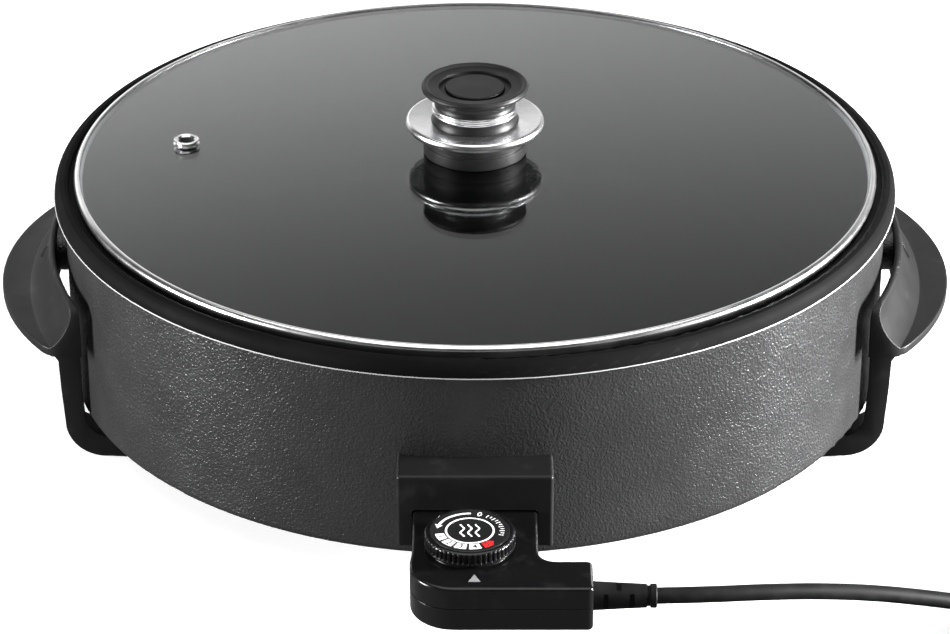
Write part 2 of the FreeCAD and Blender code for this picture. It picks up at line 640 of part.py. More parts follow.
def housing_top():
    shell = housing_block().cut([housing_room(), parting_groove()])
    shell = shell.common(box(-100, 100, -400, -100, TERMINAL_Z, 100))
    ring = turned((19.0, BODY_TOP - 0.5), (19.0, 55.7), ((18.8, 55.9), (18.6, 56.0)), (5.05, 56.0), (5.05, BODY_TOP - 0.5))
    ring.translate(Vector(DIAL_X, DIAL_Y, 0))
    posts = screw_posts(TERMINAL_Z, BODY_TOP - 1, 1.5)
    top = joined(shell, ring, *posts).cut(housing_openings())
    return top.cut(pointer_prism(53.4, BODY_TOP + 1))


def housing_bottom():
    shell = housing_block().cut([housing_room(), parting_groove()])
    shell = shell.common(box(-100, 100, -400, -100, 0, TERMINAL_Z))
    posts = [rod(3.4, (x, y, BODY_LOW + 1), (x, y, TERMINAL_Z)) for x, y in SCREW_POSTS]
    shell = joined(shell, *posts)
    cuts = housing_openings()
    for x, y in SCREW_POSTS:
        cuts.append(rod(1.7, (x, y, BODY_LOW - 1), (x, y, TERMINAL_Z + 1)))
        cuts.append(rod(2.9, (x, y, BODY_LOW - 1), (x, y, BODY_LOW + 4)))
    return shell.cut(cuts)


def housing_screws():
    small = screw(2.7, 1.6, 1.45, 15.0)
    return [placed(small, (x, y, BODY_LOW + 4), (0, 0, -1)) for x, y in SCREW_POSTS]


def pointer_prism(low, high):
    return prism(low, high, (-0.3, -275.8), (-3.0, -281.8), (2.4, -281.8))


def pointer_lens():
    return pointer_prism(53.4, BODY_TOP + 0.15)


def neon_lamp():
    """Indicator bulb under the pointer's lens."""
    bulb = rod(2.0, (-6, -279.5, 49.5), (5, -279.5, 49.5))
    return rounded(bulb, 1.6, lambda e: True)


def sensor_probe():
    """Steel tube with a domed tip that reaches the pan's wall."""
    tube = rod(3.0, (0, -231, TERMINAL_Z), (0, -203.0, TERMINAL_Z))
    return rounded(tube, 1.8, lambda e: abs(e.BoundBox.YMax + 203.0) < 1e-4)


def contact_sleeves():
    sleeves = []
    for x in (-TERMINAL_X, TERMINAL_X):
        outer = rod(4.2, (x, -214.1, TERMINAL_Z), (x, -232, TERMINAL_Z))
        sleeves.append(outer.cut(rod(PIN_R + 0.3, (x, -213, TERMINAL_Z), (x, -230, TERMINAL_Z))))
    return sleeves


def thermostat_switch():
    """Switch block under the dial, with the hole that its spindle turns in."""
    block = box(-17, 13, -268, -236.5, 36.5, 47.5)
    block = rounded(block, 1.0, lambda e: e.BoundBox.ZLength > 5)
    return block.cut(rod(3.1, (DIAL_X, DIAL_Y, 44), (DIAL_X, DIAL_Y, 50)))


def bimetal_strip():
    """Sprung strip from the probe's root to the switch block."""
    strip = box(-4, 4, -236.4, -231.1, 40.2, 41.2)
    return joined(strip, box(-4, 4, -232.1, -231.1, 40.2, 47.6))


def bus_strips():
    """Brass strips from the sleeves back to the switch block."""
    strips = []
    for x, near in ((-TERMINAL_X, -17.1), (TERMINAL_X, 13.1)):
        side = 1 if x > 0 else -1
        low, high = sorted((near, x + side * 3))
        strips.append(joined(box(low, high, -233.0, -232.1, 41.5, 46.9),
                             box(*sorted((near, near + side)), -245, -232.1, 41.5, 46.9)))
    return strips


def spindle_bush():
    bush = turned((3.05, 48.2), (6.4, 48.2), (6.4, 49.8), (5.0, 50.2), (5.0, 56.0), (3.05, 56.0))
    bush.translate(Vector(DIAL_X, DIAL_Y, 0))
    return bush


def cord_clamp():
    """Saddle that grips the lead inside the housing."""
    saddle = box(36, 41, -284, -268, 35.5, 41)
    return saddle.cut(rod(CORD_R, (30, RELIEF_Y, TERMINAL_Z), (50, RELIEF_Y, TERMINAL_Z)))


# ---- dial ----
def dial_knob():
    low = 56.3
    knob = turned(
        (0, low), (20.2, low), (20.5, low + 0.3), (20.5, low + 5.2), ((20.1, low + 6.1), (19.2, low + 6.6)),
        (18.3, low + 6.7), (18.1, DIAL_FACE_Z - 0.7), (0, DIAL_FACE_Z - 0.7))
    ribs = 54
    grooves = [
        rod(0.75, polar(DIAL_R + 0.25, 360.0 * n / ribs, low + 1.3), polar(DIAL_R + 0.25, 360.0 * n / ribs, low + 8))
        for n in range(ribs)
    ]
    knob = knob.cut(grooves)
    knob.translate(Vector(DIAL_X, DIAL_Y, 0))
    return knob.cut(rod(3.0, (DIAL_X, DIAL_Y, low - 1), (DIAL_X, DIAL_Y, low + 4)))


def dial_face():
    disc = turned((0, DIAL_FACE_Z - 0.7), (18.0, DIAL_FACE_Z - 0.7), (18.0, DIAL_FACE_Z - 0.1), (17.9, DIAL_FACE_Z),
                  (0, DIAL_FACE_Z))
    disc.translate(Vector(DIAL_X, DIAL_Y, 0))
    return disc


def dial_spindle():
    spindle = rod(3.0, (DIAL_X, DIAL_Y, 45), (DIAL_X, DIAL_Y, 60.3))
    flat = box(DIAL_X + 2.2, DIAL_X + 4, DIAL_Y - 4, DIAL_Y + 4, 44, 47.9)
    return spindle.cut(flat)


# ---- mains lead ----
def strain_relief():
    """Tapering sleeve with slots that lie by turns at its sides and at its top and bottom, a collar at
    its end and a flange held inside the housing."""
    start = BODY_RIGHT
    neck = RELIEF_END_X - 4.6
    profile = face(
        (start - 5.5, 0), (start - 5.5, 7.0), (start - 2.5, 7.0), (start - 2.5, 5.9), (start + 0.05, 5.9),
        (start + 0.05, 6.5), (neck, 5.3), (neck + 0.4, 4.6), (neck + 1.5, 4.6), (neck + 1.9, 5.4),
        (RELIEF_END_X - 0.4, 5.4), (RELIEF_END_X, 5.0), (RELIEF_END_X, 0),
        place=lambda p: Vector(p[0], RELIEF_Y, TERMINAL_Z + p[1]))
    sleeve = profile.revolve(Vector(0, RELIEF_Y, TERMINAL_Z), Vector(1, 0, 0), 360)
    slots = []
    for n in range(3):
        x = start + 5.6 + n * RELIEF_PITCH
        radius = 6.5 - 0.05 * (x - start) - RELIEF_SLOT
        for way in (-1, 1):
            slot = box(x - 1.1, x + 1.1, -4.0, 4.0, radius, radius + 4)
            slot = rounded(slot, 1.05, lambda e: e.BoundBox.ZLength > 3)
            slot.rotate(Vector(), Vector(1, 0, 0), 90 * (way if n % 2 == 0 else 1 + way))
            slot.translate(Vector(0, RELIEF_Y, TERMINAL_Z))
            slots.append(slot)
    return sleeve.cut(slots)


def cord_tube(points, radius, name):
    """Round cord along straight runs joined by tangent arcs as large as the runs allow."""
    points = [Vector(*p) for p in points]
    here, edges, length, radii = points[0], [], 0.0, []
    for before, corner, after in zip(points, points[1:], points[2:]):
        back, ahead = before - corner, after - corner
        turn = math.pi - back.getAngle(ahead)
        reach = 0.45 * min(back.Length, ahead.Length)
        back.normalize()
        ahead.normalize()
        enter, leave = corner + back * reach, corner + ahead * reach
        bend = reach / math.tan(turn / 2)
        inward = (back + ahead).normalize()
        middle = corner + inward * (bend / math.cos(turn / 2) - bend)
        edges.append(Part.LineSegment(here, enter).toShape())
        edges.append(Part.Arc(enter, middle, leave).toShape())
        length += (enter - here).Length + bend * turn
        radii.append(round(bend, 1))
        here = leave
    edges.append(Part.LineSegment(here, points[-1]).toShape())
    length += (points[-1] - here).Length
    path = Part.Wire(edges)
    section = Part.Wire(Part.makeCircle(radius, points[0], points[1] - points[0]))
    tube = path.makePipeShell([section], True, False)
    share = tube.Volume / (math.pi * radius ** 2 * length)
    print(name, "radii", radii, "length", round(length, 1), "volume over section times length", round(share, 4))
    return tube


def coil_section():
    """Inner radius, outer radius and top of the coil's solid."""
    across = COIL_TURNS_WIDE * 2 * CORD_R
    return COIL_MEAN_R - across / 2, COIL_MEAN_R + across / 2, COIL_LOW + 4 * CORD_R


def cord_coil():
    inner, outer, top = coil_section()
    low = COIL_LOW
    coil = turned(
        (inner, low + 2), ((inner + 0.6, low + 0.6), (inner + 2, low)), (outer - 2, low),
        ((outer - 0.6, low + 0.6), (outer, low + 2)), (outer, top - 2), ((outer - 0.6, top - 0.6), (outer - 2, top)),
        (inner + 2, top), ((inner + 0.6, top - 0.6), (inner, top - 2)))
    coil.translate(COIL)
    return coil


def cord_tie():
    """Strap round the coil's bundle."""
    inner, outer, top = coil_section()
    gap, thick, wide = 0.1, 0.7, 8.0
    strap = box(inner - gap - thick, outer + gap + thick, -wide / 2, wide / 2, 0.1, top + gap + thick)
    hole = box(inner - gap, outer + gap, -wide, wide, COIL_LOW - gap, top + gap)
    strap = strap.cut(hole)
    strap.rotate(Vector(), Vector(0, 0, 1), -60)
    strap.translate(COIL)
    return strap.cut(cord_coil())


def plug_frame(shape):
    """Places a shape that is drawn along +X from the lead's entry."""
    copy = shape.copy()
    copy.rotate(Vector(), Vector(0, 0, 1), PLUG_TURN)
    copy.translate(Vector(*TAIL_ROUTE[-1]))
    return copy


PLUG_LENGTH = 46.0


def plug_body():
    profile = face(
        (0, 0), (0, 4.8), (1.0, 5.2), (14, 6.6), ((18.5, 8.0), (21, 11.5)), ((24.5, 15.2), (29, PLUG_R - 1.0)),
        (31, PLUG_R), (PLUG_LENGTH - 1.5, PLUG_R), (PLUG_LENGTH, PLUG_R - 1.5), (PLUG_LENGTH, 0),
        place=lambda p: Vector(p[0], 0, p[1]))
    body = profile.revolve(Vector(), Vector(1, 0, 0), 360)
    flats = [box(30, PLUG_LENGTH + 1, s * 15.6 - 3 * (s < 0), s * 15.6 + 3 * (s > 0), -3.2, 3.2) for s in (-1, 1)]
    pins = [rod(2.4, (PLUG_LENGTH - 8, s * 9.5, 0), (PLUG_LENGTH + 5, s * 9.5, 0)) for s in (-1, 1)]
    return plug_frame(body.cut(flats + pins))


def plug_pins():
    pins = []
    for side in (-1, 1):
        pin = rod(2.4, (PLUG_LENGTH - 8, side * 9.5, 0), (PLUG_LENGTH + 19, side * 9.5, 0))
        pins.append(plug_frame(rounded(pin, 1.6, lambda e: abs(e.BoundBox.XMax - PLUG_LENGTH - 19) < 1e-4)))
    return pins


def plug_earth_strips():
    """Side contacts let into the plug's rim."""
    strips = []
    for s in (-1, 1):
        strip = box(30.2, PLUG_LENGTH - 0.4, s * 16.7 - 1.1 * (s > 0), s * 16.7 + 1.1 * (s < 0), -3.1, 3.1)
        strips.append(plug_frame(strip))
    return strips


# ---- write every node ----
save("pan_body", pan_body())
save("heating_element", heating_element())
save("element_seals", *element_seals())
save("pin_links", *pin_links())
save("element_clamps", *element_clamps())
save("clamp_screws", *clamp_screws())
save("terminal_block", terminal_block())
save("appliance_pins", *appliance_pins())
save("earth_blade", earth_blade())
save("terminal_screws", *terminal_screws())
save("socket_guard", socket_guard())
right_handle = handle()
save("handle_right", right_handle)
save("handle_left", mirrored(right_handle, Vector(1, 0, 0)))
save("foot_pads", *foot_pads())
save("foot_screws", *foot_screws())
save("handle_screws", *handle_screws())

save("lid_glass", lid_glass())
save("lid_rim", lid_rim())
save("knob_base", knob_base())
save("knob_disc", knob_disc())
save("knob_neck", knob_neck())
save("knob_collar", knob_collar())
save("knob_top", knob_top())
save("knob_cap", knob_cap())
save("knob_screw", knob_screw())
save("knob_washer", knob_washer())
save("knob_gasket", knob_gasket())
save("vent_eyelet", vent_eyelet())

save("housing_top", housing_top())
save("housing_bottom", housing_bottom())
save("housing_screws", *housing_screws())
save("pointer_lens", pointer_lens())
save("neon_lamp", neon_lamp())
save("sensor_probe", sensor_probe())
save("contact_sleeves", *contact_sleeves())
save("thermostat_switch", thermostat_switch())
save("bimetal_strip", bimetal_strip())
save("bus_strips", *bus_strips())
save("spindle_bush", spindle_bush())
save("cord_clamp", cord_clamp())
save("strain_relief", strain_relief())
save("cord", cord_tube(LEAD_ROUTE, CORD_R, "cord"))
save("cord_coil", cord_coil())
save("cord_tail", cord_tube(TAIL_ROUTE, CORD_R, "cord_tail"))
save("cord_tie", cord_tie())
save("plug_body", plug_body())
save("plug_pins", *plug_pins())
save("plug_earth_strips", *plug_earth_strips())

save("dial_knob", dial_knob())
save("dial_face", dial_face())
save("dial_spindle", dial_spindle())
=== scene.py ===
import json
import math

import bmesh
import bpy
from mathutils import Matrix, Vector


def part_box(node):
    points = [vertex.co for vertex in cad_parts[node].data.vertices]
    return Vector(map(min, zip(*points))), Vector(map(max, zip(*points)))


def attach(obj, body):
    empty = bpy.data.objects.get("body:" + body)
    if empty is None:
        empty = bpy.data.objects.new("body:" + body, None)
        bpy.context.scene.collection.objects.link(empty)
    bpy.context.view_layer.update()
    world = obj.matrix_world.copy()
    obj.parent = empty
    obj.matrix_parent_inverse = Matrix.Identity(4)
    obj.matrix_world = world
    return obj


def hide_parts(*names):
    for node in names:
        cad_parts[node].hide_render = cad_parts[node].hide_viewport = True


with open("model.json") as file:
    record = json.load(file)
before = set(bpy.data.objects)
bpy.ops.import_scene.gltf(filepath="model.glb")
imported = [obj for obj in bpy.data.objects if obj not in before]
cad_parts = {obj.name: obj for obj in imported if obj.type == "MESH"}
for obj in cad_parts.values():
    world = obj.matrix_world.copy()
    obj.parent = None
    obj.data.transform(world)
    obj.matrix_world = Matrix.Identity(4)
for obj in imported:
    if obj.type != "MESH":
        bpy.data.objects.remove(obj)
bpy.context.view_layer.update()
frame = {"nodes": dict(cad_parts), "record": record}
NODES = frame["nodes"]

MM = 0.001
PAN_LOW, PAN_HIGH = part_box("pan_body")
PAN_Y = (PAN_LOW.y + PAN_HIGH.y) / 2      # the pan's axis
DIAL_LOW, DIAL_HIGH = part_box("dial_face")
DIAL = Vector(((DIAL_LOW.x + DIAL_HIGH.x) / 2, (DIAL_LOW.y + DIAL_HIGH.y) / 2, DIAL_HIGH.z))


# ---- camera ----
CAMERA_LENS = 135.45            # in millimetres, for a sensor 36 mm wide
CAMERA_PLACE = (0, -1.57719, 0.8949)
CAMERA_DOWN = 27.951            # degrees below level


def make_camera():
    data = bpy.data.cameras.new("camera")
    data.sensor_width = 36
    data.lens = CAMERA_LENS
    camera = bpy.data.objects.new("camera", data)
    bpy.context.scene.collection.objects.link(camera)
    camera.location = CAMERA_PLACE
    camera.rotation_euler = (math.radians(90 - CAMERA_DOWN), 0, 0)
    bpy.context.scene.camera = camera


# ---- node helpers ----
RANGE_SOCKETS = ("From Min", "From Max", "To Min", "To Max")


class Nodes:
    """Short ways to add nodes to the tree of a material or a world."""

    def __init__(self, owner):
        owner.use_nodes = True
        self.tree = owner.node_tree

    def add(self, kind, **settings):
        node = self.tree.nodes.new(kind)
        for key, value in settings.items():
            setattr(node, key, value)
        return node

    def plug(self, target, value):
        if isinstance(value, bpy.types.NodeSocket):
            self.tree.links.new(value, target)
        else:
            target.default_value = value

    def math(self, operation, a, b=0.0):
        node = self.add("ShaderNodeMath", operation=operation)
        self.plug(node.inputs[0], a)
        self.plug(node.inputs[1], b)
        return node.outputs[0]

    def between(self, value, low, high, to_low=0.0, to_high=1.0):
        """Value mapped smoothly from low..high to to_low..to_high, and kept there beyond."""
        node = self.add("ShaderNodeMapRange", interpolation_type="SMOOTHSTEP")
        self.plug(node.inputs["Value"], value)
        for key, number in zip(RANGE_SOCKETS, (low, high, to_low, to_high)):
            node.inputs[key].default_value = number
        return node.outputs["Result"]

    def split(self, vector):
        """x, y and z of a vector."""
        node = self.add("ShaderNodeSeparateXYZ")
        self.plug(node.inputs[0], vector)
        return node.outputs


class Shader(Nodes):
    """A material with a Principled shader."""

    def __init__(self, name, color, roughness, metallic=0.0, **sockets):
        self.material = bpy.data.materials.new(name)
        super().__init__(self.material)
        self.main = self.tree.nodes["Principled BSDF"]
        self.set("Base Color", (*color, 1))
        self.set("Roughness", roughness)
        self.set("Metallic", metallic)
        for socket, value in sockets.items():
            self.set(socket.replace("_", " "), value)
        self.coords = self.add("ShaderNodeTexCoord").outputs["Object"]
        self.bump = None

    def set(self, socket, value):
        self.plug(self.main.inputs[socket], value)

    def noise(self, size, detail=4.0, rough=0.55):
        """Noise, 0 to 1, whose features are about size metres across."""
        mapping = self.add("ShaderNodeMapping")
        mapping.inputs["Scale"].default_value = [1 / size] * 3
        self.plug(mapping.inputs["Vector"], self.coords)
        node = self.add("ShaderNodeTexNoise")
        node.inputs["Scale"].default_value = 1.0
        node.inputs["Detail"].default_value = detail
        node.inputs["Roughness"].default_value = rough
        self.plug(node.inputs["Vector"], mapping.outputs[0])
        return node.outputs["Fac"]

    def pebbles(self, size):
        """Distance from the middles of rounded cells about size metres across."""
        node = self.add("ShaderNodeTexVoronoi", feature="SMOOTH_F1")
        node.inputs["Scale"].default_value = 1 / size
        self.plug(node.inputs["Vector"], self.coords)
        return node.outputs["Distance"]

    def mix(self, share, a, b):
        node = self.add("ShaderNodeMix", data_type="RGBA")
        self.plug(node.inputs["Factor"], share)
        for key, value in (("A", a), ("B", b)):
            socket = next(s for s in node.inputs if s.name == key and s.type == "RGBA")
            self.plug(socket, value if isinstance(value, bpy.types.NodeSocket) else (*value, 1))
        return next(s for s in node.outputs if s.type == "RGBA")

    def relief(self, height, depth):
        """Bump from a height of 0 to 1 that stands for depth metres, on top of earlier bumps."""
        node = self.add("ShaderNodeBump")
        node.inputs["Distance"].default_value = depth
        self.plug(node.inputs["Height"], height)
        if self.bump:
            self.plug(node.inputs["Normal"], self.bump)
        self.bump = node.outputs["Normal"]
        self.set("Normal", self.bump)

    def place(self):
        """Height, and distance from the pan's axis."""
        x, y, z = self.split(self.coords)
        y = self.math("SUBTRACT", y, PAN_Y)
        squares = self.math("ADD", self.math("MULTIPLY", x, x), self.math("MULTIPLY", y, y))
        return z, self.math("SQRT", squares)

    def uneven(self, low, high, size=0.03):
        """Roughness that drifts between two values."""
        self.set("Roughness", self.between(self.noise(size), 0.3, 0.7, low, high))


# ---- materials ----
# Where one coating of the pan changes to another, in metres.
WALL_RADIUS = (0.2035, 0.2045)
WALL_TOP = (0.1162, 0.1168)
UNDERSIDE = (0.0200, 0.0215)
BARE_RADIUS = (0.2091, 0.2093)
BARE_LOW = (0.1167, 0.1168)
BARE_TOP = (0.1171, 0.1172)
COAT_GRAIN = 0.0004             # depth of the grain outside


def pan_coating():
    """Grained metallic coating outside, matt black lip and inside, bare edge under the lip."""
    s = Shader("pan_coating", (0.03, 0.03, 0.031), 0.45, Specular_IOR_Level=0.02)
    z, radius = s.place()
    wall = s.math("MULTIPLY", s.between(radius, *WALL_RADIUS), s.between(z, *WALL_TOP, 1, 0))
    under = s.between(z, *UNDERSIDE, 1, 0)
    grained = s.math("MAXIMUM", wall, s.math("MULTIPLY", under, 0.6))
    pebbles = s.math("MULTIPLY", s.pebbles(0.0013), 0.5)
    height = s.math("ADD", s.math("MULTIPLY", s.noise(0.0010, 2, 0.5), 0.8), pebbles)
    height = s.math("ADD", height, s.math("MULTIPLY", s.noise(0.003, 2), 0.2))
    s.relief(s.math("MULTIPLY", height, grained), COAT_GRAIN)
    bare = s.math("MULTIPLY", s.between(z, *BARE_LOW), s.between(z, *BARE_TOP, 1, 0))
    bare = s.math("MULTIPLY", s.between(radius, *BARE_RADIUS), bare)
    drift = s.between(s.noise(0.06, 3), 0.3, 0.7)
    flecks = s.between(s.noise(0.0007, 2), 0.4, 0.7)
    coat = s.mix(drift, (0.054, 0.054, 0.055), (0.063, 0.063, 0.064))
    coat = s.mix(s.math("MULTIPLY", flecks, 0.25), coat, (0.10, 0.10, 0.10))
    smooth_coat = s.mix(drift, (0.0035, 0.0035, 0.0037), (0.0055, 0.0055, 0.0057))
    coat = s.mix(grained, smooth_coat, coat)
    s.set("Base Color", s.mix(bare, coat, (0.34, 0.34, 0.34)))
    metallic = s.math("MAXIMUM", s.math("MULTIPLY", grained, 0.78), s.math("MULTIPLY", bare, 0.5))
    s.set("Metallic", metallic)
    rough = s.between(grained, 0, 1, 0.62, 0.30)
    s.set("Roughness", s.math("ADD", rough, s.between(s.noise(0.02), 0.3, 0.7, -0.03, 0.03)))
    return s.material


def moulded(name, color, rough_low, rough_high, grain=0.00004, specular=0.5):
    """Moulded plastic: fine spark-eroded grain, faint flow marks and edges rounded in the shading.
    """
    s = Shader(name, color, rough_low)
    s.set("Specular IOR Level", specular)
    worn = s.between(s.noise(0.012, 5), 0.55, 0.8)
    lighter = tuple(c * 1.5 + 0.004 for c in color)
    s.set("Base Color", s.mix(worn, color, lighter))
    s.uneven(rough_low, rough_high, 0.025)
    edge = s.add("ShaderNodeBevel", samples=4)
    edge.inputs["Radius"].default_value = 0.0005
    s.bump = edge.outputs["Normal"]
    s.relief(s.noise(0.0006, 2), grain)
    return s.material


def metal(name, color, rough_low, rough_high, depth=0.00002, tint=None):
    """Metal with a fine grain of the given depth and a patchy tint."""
    s = Shader(name, color, rough_low, 1.0)
    tint = tint or tuple(0.85 * c for c in color)
    s.set("Base Color", s.mix(s.between(s.noise(0.02, 4), 0.35, 0.7), color, tint))
    s.uneven(rough_low, rough_high, 0.015)
    s.relief(s.noise(0.0008, 3), depth)
    return s.material


def ceramic():
    s = Shader("ceramic_seal", (0.80, 0.77, 0.70), 0.6)
    s.set("Base Color", s.mix(s.noise(0.002), (0.84, 0.82, 0.76), (0.70, 0.66, 0.58)))
    s.relief(s.noise(0.0004, 3), 0.00006)
    return s.material


def rubber():
    s = Shader("rubber_black", (0.005, 0.005, 0.0053), 0.6, Specular_IOR_Level=0.08)
    worn = s.between(s.noise(0.01, 5), 0.4, 0.75)
    s.set("Base Color", s.mix(worn, (0.0045, 0.0045, 0.0048), (0.0095, 0.0095, 0.0098)))
    s.uneven(0.52, 0.68, 0.02)
    s.relief(s.noise(0.0005, 3), 0.00003)
    return s.material


def glass(name, color, rough_low, rough_high):
    """Clear glass, very slightly uneven in tint and polish."""
    s = Shader(name, color, rough_low)
    s.set("Transmission Weight", 1.0)
    s.set("IOR", 1.5)
    s.set("Base Color", s.mix(s.noise(0.08, 2), color, tuple(0.97 * c for c in color)))
    s.uneven(rough_low, rough_high, 0.04)
    return s.material


def ribbed_lens_with_painted_shade():
    s = Shader("lens_clear", (0.20, 0.20, 0.21), 0.35)
    wave = s.add("ShaderNodeTexWave", bands_direction="Y")
    wave.inputs["Scale"].default_value = 350
    s.plug(wave.inputs["Vector"], s.coords)
    # The colour follows the ribs' height: painted shade in the grooves between the ribs and painted
    # highlight on their crests.
    s.set("Base Color", s.mix(wave.outputs["Fac"], (0.15, 0.15, 0.155), (0.26, 0.26, 0.265)))
    s.relief(wave.outputs["Fac"], 0.0001)
    return s.material


def print_ink(name, color):
    s = Shader(name, color, 0.4)
    thin = s.between(s.noise(0.0009, 4), 0.45, 0.8)
    s.set("Base Color", s.mix(thin, color, tuple(0.8 * c for c in color)))
    s.relief(s.noise(0.0003, 2), 0.00001)
    return s.material


def make_materials():
    return {
        "pan_coating": pan_coating(),
        "element_steel": metal("element_steel", (0.16, 0.14, 0.12), 0.38, 0.55,
                               tint=(0.10, 0.08, 0.09)),
        "ceramic_seal": ceramic(),
        "plated_brass": metal("plated_brass", (0.72, 0.68, 0.58), 0.22, 0.34),
        "screw_steel": metal("screw_steel", (0.60, 0.60, 0.62), 0.25, 0.4),
        "phenolic_black": moulded("phenolic_black", (0.007, 0.007, 0.0073), 0.38, 0.48,
                                  specular=0.18),
        "rubber_black": rubber(),
        "lid_glass": glass("lid_glass", (0.72, 0.74, 0.75), 0.0, 0.03),
        "polished_steel": metal("polished_steel", (0.90, 0.90, 0.90), 0.20, 0.25, 0.000001),
        "chrome_trim": metal("chrome_trim", (0.86, 0.86, 0.87), 0.22, 0.28, 0.000001),
        "gloss_black": moulded("gloss_black", (0.0035, 0.0035, 0.0038), 0.14, 0.22, 0.00001,
                               specular=0.30),
        "dial_print": moulded("dial_print", (0.007, 0.007, 0.0072), 0.30, 0.38, 0.00001),
        "lens_clear": ribbed_lens_with_painted_shade(),
        "ink_white": print_ink("ink_white", (0.86, 0.86, 0.86)),
        "ink_black": print_ink("ink_black", (0.02, 0.02, 0.02)),
        "ink_red": print_ink("ink_red", (0.78, 0.012, 0.015)),
    }


def coat_cad_nodes(materials):
    """Every CAD node gets the material of its slot in the record."""
    for part in frame["record"]["subparts"]:
        for holder in NODES[part["node"]].material_slots:
            holder.material = materials[part["material_slot"]]


# ---- pieces ----
def in_frame(x, y, z):
    """A point about the pan's axis, in millimetres, as a point of the frame."""
    return Vector((x * MM, y * MM + PAN_Y, z * MM))


def evaluated_mesh(holder):
    """Mesh of an object with its modifiers applied."""
    bpy.context.view_layer.update()
    evaluated = holder.evaluated_get(bpy.context.evaluated_depsgraph_get())
    return bpy.data.meshes.new_from_object(evaluated)


def add_piece(name, data, body, material, replaced=()):
    piece = bpy.data.objects.new(name, data)
    bpy.context.scene.collection.objects.link(piece)
    piece.data.materials.clear()
    piece.data.materials.append(material)
    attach(piece, body)
    if replaced:
        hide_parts(*replaced)
    return piece


LATHE_SEGMENTS = 360
LATHE_SHARP = 50                # edges sharper than this many degrees are shaded sharp


def lathe(outline):
    """Ring mesh of an (r, z) outline in millimetres, turned about the pan's axis."""
    bm = bmesh.new()
    rings = []
    for n in range(LATHE_SEGMENTS):
        angle = 2 * math.pi * n / LATHE_SEGMENTS
        places = [in_frame(r * math.cos(angle), r * math.sin(angle), z) for r, z in outline]
        rings.append([bm.verts.new(place) for place in places])
    for n in range(LATHE_SEGMENTS):
        here, after = rings[n], rings[(n + 1) % LATHE_SEGMENTS]
        for k in range(len(outline)):
            m = (k + 1) % len(outline)
            bm.faces.new((here[k], after[k], after[m], here[m]))
    bmesh.ops.recalc_face_normals(bm, faces=bm.faces)
    for face in bm.faces:
        face.smooth = True
    mesh = bpy.data.meshes.new("lathe")
    bm.to_mesh(mesh)
    bm.free()
    mesh.set_sharp_from_angle(angle=math.radians(LATHE_SHARP))
    return mesh


# The lid's rim and glass, in millimetres: radii about the pan's axis and heights.
RIM_INSIDE = 195.2              # edge of the lower lip, under the glass
RIM_LIP = 197.0                 # edge of the upper lip, on the glass
RIM_RADIUS = 199.8
RIM_LOW = 121.9
RIM_TOP = 127.65
CHANNEL_RADIUS = 198.7          # the channel that holds the glass's edge
CHANNEL_LOW = 122.7
CHANNEL_TOP = 126.9
SHOULDER_WIDTH = 2.2
SHOULDER_HEIGHT = 2.35
SHOULDER_STEPS = 12
RIM_TUCK = [(0.08, 2.95), (0.3, 3.65), (0.6, 4.35), (0.85, 5.05), (1.0, 5.75)]   # inward, down

GLASS_RADIUS = 198.6
GLASS_TOP = 131.9
GLASS_RISE = 5.1
GLASS_THICK = 3.8
GLASS_CHAMFER = 0.8
GLASS_RINGS = [8, *range(15, 196, 6), 197.6]
SCREW_HOLE = 3.2                # radius of the hole for the knob's screw
VENT_HOLE = 5.2                 # radius of the hole for the vent's eyelet
VENT = (-145.0, 12.0, 128.0)    # x, y and z of the middle of that hole


def lid_rim(materials):
    """The rolled channel with a fuller, rounder shoulder than a plain section gives."""
    outline = [(RIM_INSIDE, CHANNEL_LOW), (CHANNEL_RADIUS, CHANNEL_LOW)]
    outline += [(CHANNEL_RADIUS, CHANNEL_TOP), (RIM_LIP, CHANNEL_TOP), (RIM_LIP, RIM_TOP - 0.1)]
    for n in range(SHOULDER_STEPS + 1):
        turn = math.pi / 2 * n / SHOULDER_STEPS
        outline.append((RIM_RADIUS - SHOULDER_WIDTH * (1 - math.sin(turn)),
                        RIM_TOP - SHOULDER_HEIGHT * (1 - math.cos(turn))))
    outline += [(RIM_RADIUS - inward, RIM_TOP - down) for inward, down in RIM_TUCK]
    outline.append((RIM_INSIDE, RIM_LOW))
    add_piece("lid_rim_rolled", lathe(outline), "lid",
              materials["polished_steel"], ("lid_rim",))


def vent_drill():
    """A plain cylinder where the vent's eyelet goes through the glass."""
    mesh = bpy.data.meshes.new("drill")
    bm = bmesh.new()
    bmesh.ops.create_cone(bm, cap_ends=True, segments=48, depth=0.04,
                          radius1=VENT_HOLE * MM, radius2=VENT_HOLE * MM)
    bmesh.ops.translate(bm, vec=in_frame(*VENT), verts=bm.verts)
    bm.to_mesh(mesh)
    bm.free()
    return bpy.data.objects.new("drill", mesh)


def lid_glass(materials):
    """The dome turned in fine rings, so that its reflections run smoothly, with the vent's hole."""
    radii = (SCREW_HOLE, *GLASS_RINGS)
    top = [(r, GLASS_TOP - GLASS_RISE * (r / GLASS_RADIUS) ** 2) for r in radii]
    edge = GLASS_TOP - GLASS_RISE
    outline = top + [(GLASS_RADIUS, edge - GLASS_CHAMFER)]
    outline.append((GLASS_RADIUS, edge - GLASS_THICK + GLASS_CHAMFER))
    outline += [(r, z - GLASS_THICK) for r, z in reversed(top)]
    dome = bpy.data.objects.new("dome", lathe(outline))
    drill = vent_drill()
    for holder in (dome, drill):
        bpy.context.scene.collection.objects.link(holder)
    hole = dome.modifiers.new("hole", "BOOLEAN")
    hole.operation = "DIFFERENCE"
    hole.object = drill
    mesh = evaluated_mesh(dome)
    for holder in (dome, drill):
        bpy.data.objects.remove(holder)
    add_piece("lid_glass_turned", mesh, "lid", materials["lid_glass"], ("lid_glass",))


